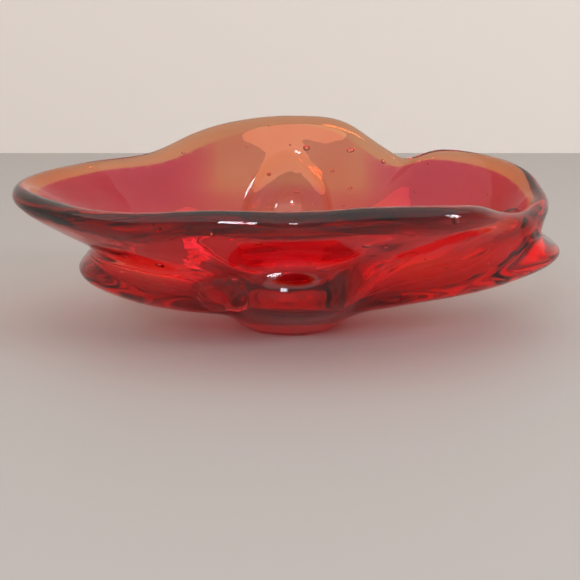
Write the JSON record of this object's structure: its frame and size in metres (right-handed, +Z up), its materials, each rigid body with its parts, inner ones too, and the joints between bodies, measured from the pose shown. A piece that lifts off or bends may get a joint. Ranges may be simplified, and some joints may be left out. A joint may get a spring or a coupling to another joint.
{
  "type": "art glass bowl",
  "caption": "Freeform ruby and amber art glass bowl with blown-out pockets, pinched folds and a rolled, wavy rim.",
  "frame": {"origin": "centre of the ground flat that the bowl stands on", "axes": "+Z up, +X along the longest way across the rim, towards the folded end, -Y towards the low, steep side"},
  "size_m": [0.2669, 0.1741, 0.0954],
  "materials": {
    "amber_casing_glass": "fire polished",
    "ruby_gather_glass": "fire polished"
  },
  "bodies": {
    "root": {"outer_casing": "amber_casing_glass", "ruby_inner_gather": "ruby_gather_glass"}
  },
  "joints": []
}
